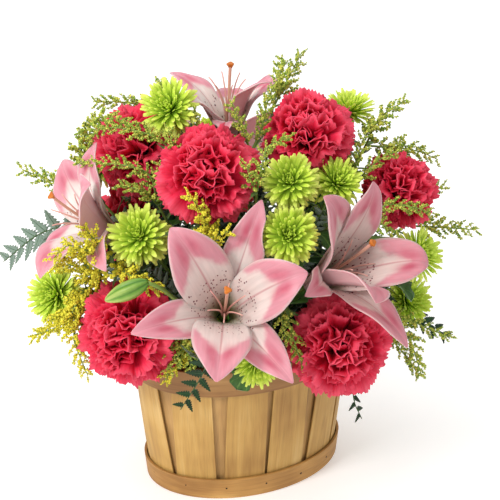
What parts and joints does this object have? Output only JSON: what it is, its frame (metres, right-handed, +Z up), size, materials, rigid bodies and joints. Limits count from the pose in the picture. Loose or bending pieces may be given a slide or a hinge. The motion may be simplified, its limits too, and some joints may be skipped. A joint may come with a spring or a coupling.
{
  "type": "flower basket arrangement",
  "caption": "Bouquet of pink lilies, hot pink carnations and green chrysanthemums with goldenrod and fern, standing in wet foam in an oval splint-wood basket.",
  "frame": {"origin": "centre of the basket's underside, on the surface that it stands on", "axes": "+X along the long axis of the basket's oval, +Z up; the pictured side faces about 30 degrees from -Y towards -X"},
  "size_m": [0.3301, 0.3249, 0.3109],
  "materials": {
    "splint_wood": "satin",
    "board_wood": "matte",
    "base_band_wood": "satin",
    "rim_band_wood": "satin",
    "liner_plastic": "matte",
    "wet_foam": "matte",
    "lily_petal": "satin",
    "carnation_petal": "matte",
    "stem_green": "satin",
    "mum_green": "matte",
    "goldenrod": "matte",
    "fern_green": "satin"
  },
  "bodies": {
    "root": {"base_hoop": "base_band_wood", "bottom_board": "board_wood", "carnation_1_petals": "carnation_petal", "carnation_1_stem": "stem_green", "carnation_2_petals": "carnation_petal", "carnation_2_stem": "stem_green", "carnation_3_petals": "carnation_petal", "carnation_3_stem": "stem_green", "carnation_4_petals": "carnation_petal", "carnation_4_stem": "stem_green", "carnation_5_petals": "carnation_petal", "carnation_5_stem": "stem_green", "carnation_6_petals": "carnation_petal", "carnation_6_stem": "stem_green", "carnation_7_petals": "carnation_petal", "carnation_7_stem": "stem_green", "carnation_8_petals": "carnation_petal", "carnation_8_stem": "stem_green", "fern_1": "fern_green", "fern_2": "fern_green", "fern_3": "fern_green", "fern_4": "fern_green", "fern_5": "fern_green", "foam": "wet_foam", "goldenrod_1": "goldenrod", "goldenrod_2": "goldenrod", "goldenrod_3": "goldenrod", "goldenrod_4": "goldenrod", "goldenrod_5": "goldenrod", "goldenrod_6": "goldenrod", "goldenrod_7": "goldenrod", "goldenrod_8": "goldenrod", "goldenrod_9": "goldenrod", "lily_1_petals": "lily_petal", "lily_1_stem": "stem_green", "lily_2_petals": "lily_petal", "lily_2_stem": "stem_green", "lily_3_petals": "lily_petal", "lily_3_stem": "stem_green", "lily_4_petals": "lily_petal", "lily_4_stem": "stem_green", "lily_5_petals": "lily_petal", "lily_5_stem": "stem_green", "liner": "liner_plastic", "mum_1": "mum_green", "mum_10": "mum_green", "mum_11": "mum_green", "mum_12": "mum_green", "mum_13": "mum_green", "mum_2": "mum_green", "mum_3": "mum_green", "mum_4": "mum_green", "mum_5": "mum_green", "mum_6": "mum_green", "mum_7": "mum_green", "mum_8": "mum_green", "mum_9": "mum_green", "rim_hoop_inner": "rim_band_wood", "rim_hoop_outer": "rim_band_wood", "slat_wall": "splint_wood"}
  },
  "joints": []
}
